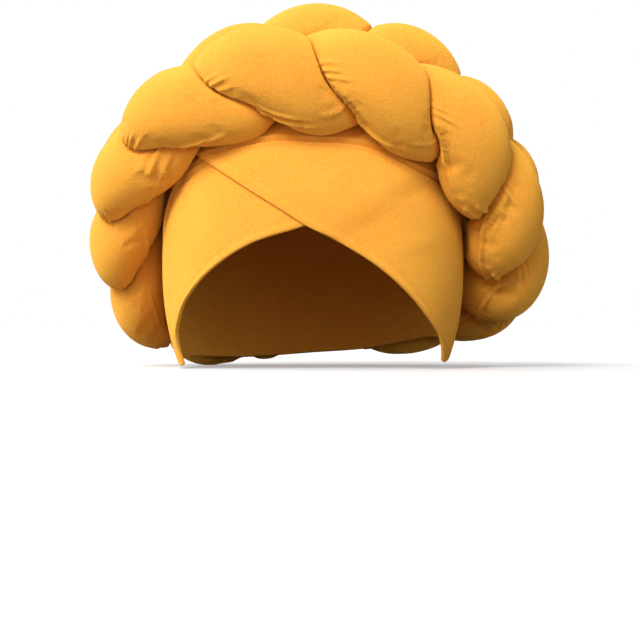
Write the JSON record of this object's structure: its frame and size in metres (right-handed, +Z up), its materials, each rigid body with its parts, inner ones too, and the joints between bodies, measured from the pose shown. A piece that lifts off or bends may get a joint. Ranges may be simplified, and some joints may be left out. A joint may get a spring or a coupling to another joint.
{
  "type": "turban hat",
  "caption": "Stretch cap with crossed front bands and a thick padded plait worn round the crown.",
  "frame": {"origin": "top of the wearer's head, where the inside of the crown rests on it", "axes": "+Z up, -Y the way the wearer's face looks, +X towards the wearer's left"},
  "size_m": [0.2376, 0.2318, 0.1806],
  "materials": {
    "crown_jersey": "matte mustard stretch jersey",
    "band_jersey": "matte mustard stretch jersey, doubled",
    "braid_jersey": "matte mustard brushed jersey over soft filling"
  },
  "bodies": {
    "root": {"crown_cap": "crown_jersey", "front_band_under": "band_jersey", "front_band_over": "band_jersey", "braid_strand_a": "braid_jersey", "braid_strand_b": "braid_jersey", "braid_strand_c": "braid_jersey"}
  },
  "joints": []
}
